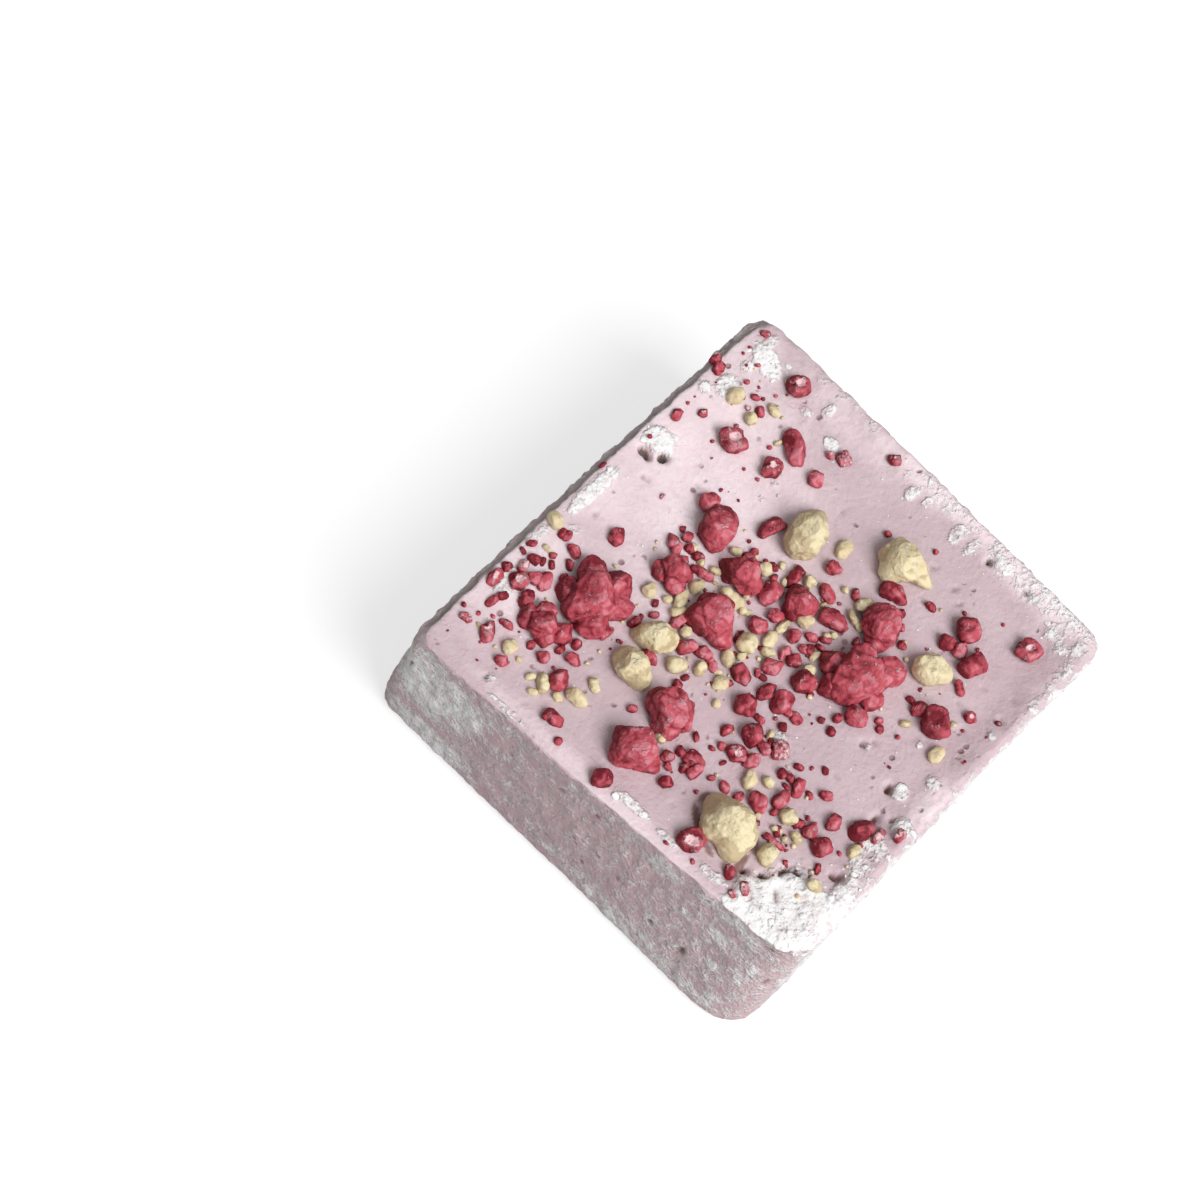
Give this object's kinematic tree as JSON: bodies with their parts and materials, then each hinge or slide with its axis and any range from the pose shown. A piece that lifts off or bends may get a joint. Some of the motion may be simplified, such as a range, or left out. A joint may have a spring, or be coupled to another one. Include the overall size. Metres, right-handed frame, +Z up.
{
  "type": "marshmallow",
  "caption": "Hand-cut square marshmallow slab with a raised rim and dished top, scattered with dried berry chunks and cream nuggets.",
  "frame": {"origin": "middle of the underside, where the slab rests", "axes": "+Z up out of the topped face, +X to the right-hand side and -Y to the cut side that is seen from the front"},
  "size_m": [0.0417, 0.045, 0.019],
  "materials": {
    "marshmallow_pink": "soft satin foam skin, pale pink, dusted with starch and sugar",
    "berry_red": "matt freeze-dried berry, crimson, lumpy",
    "cream_biscuit": "matt waxy cream-yellow nugget"
  },
  "bodies": {
    "root": {"marshmallow": "marshmallow_pink", "red_chunk_west": "berry_red", "red_chunk_southwest": "berry_red", "red_chunk_northwest": "berry_red", "red_chunk_inner_west": "berry_red", "red_chunk_inner_north": "berry_red", "red_chunk_centre": "berry_red", "red_chunk_middle": "berry_red", "red_chunk_northeast": "berry_red", "red_chunk_east": "berry_red", "red_chunk_south": "berry_red", "red_chunk_far_south": "berry_red", "cream_nugget_north": "cream_biscuit", "cream_nugget_northeast": "cream_biscuit", "cream_nugget_east": "cream_biscuit", "cream_nugget_west": "cream_biscuit", "cream_nugget_southwest": "cream_biscuit", "cream_nugget_southeast": "cream_biscuit"}
  },
  "joints": []
}
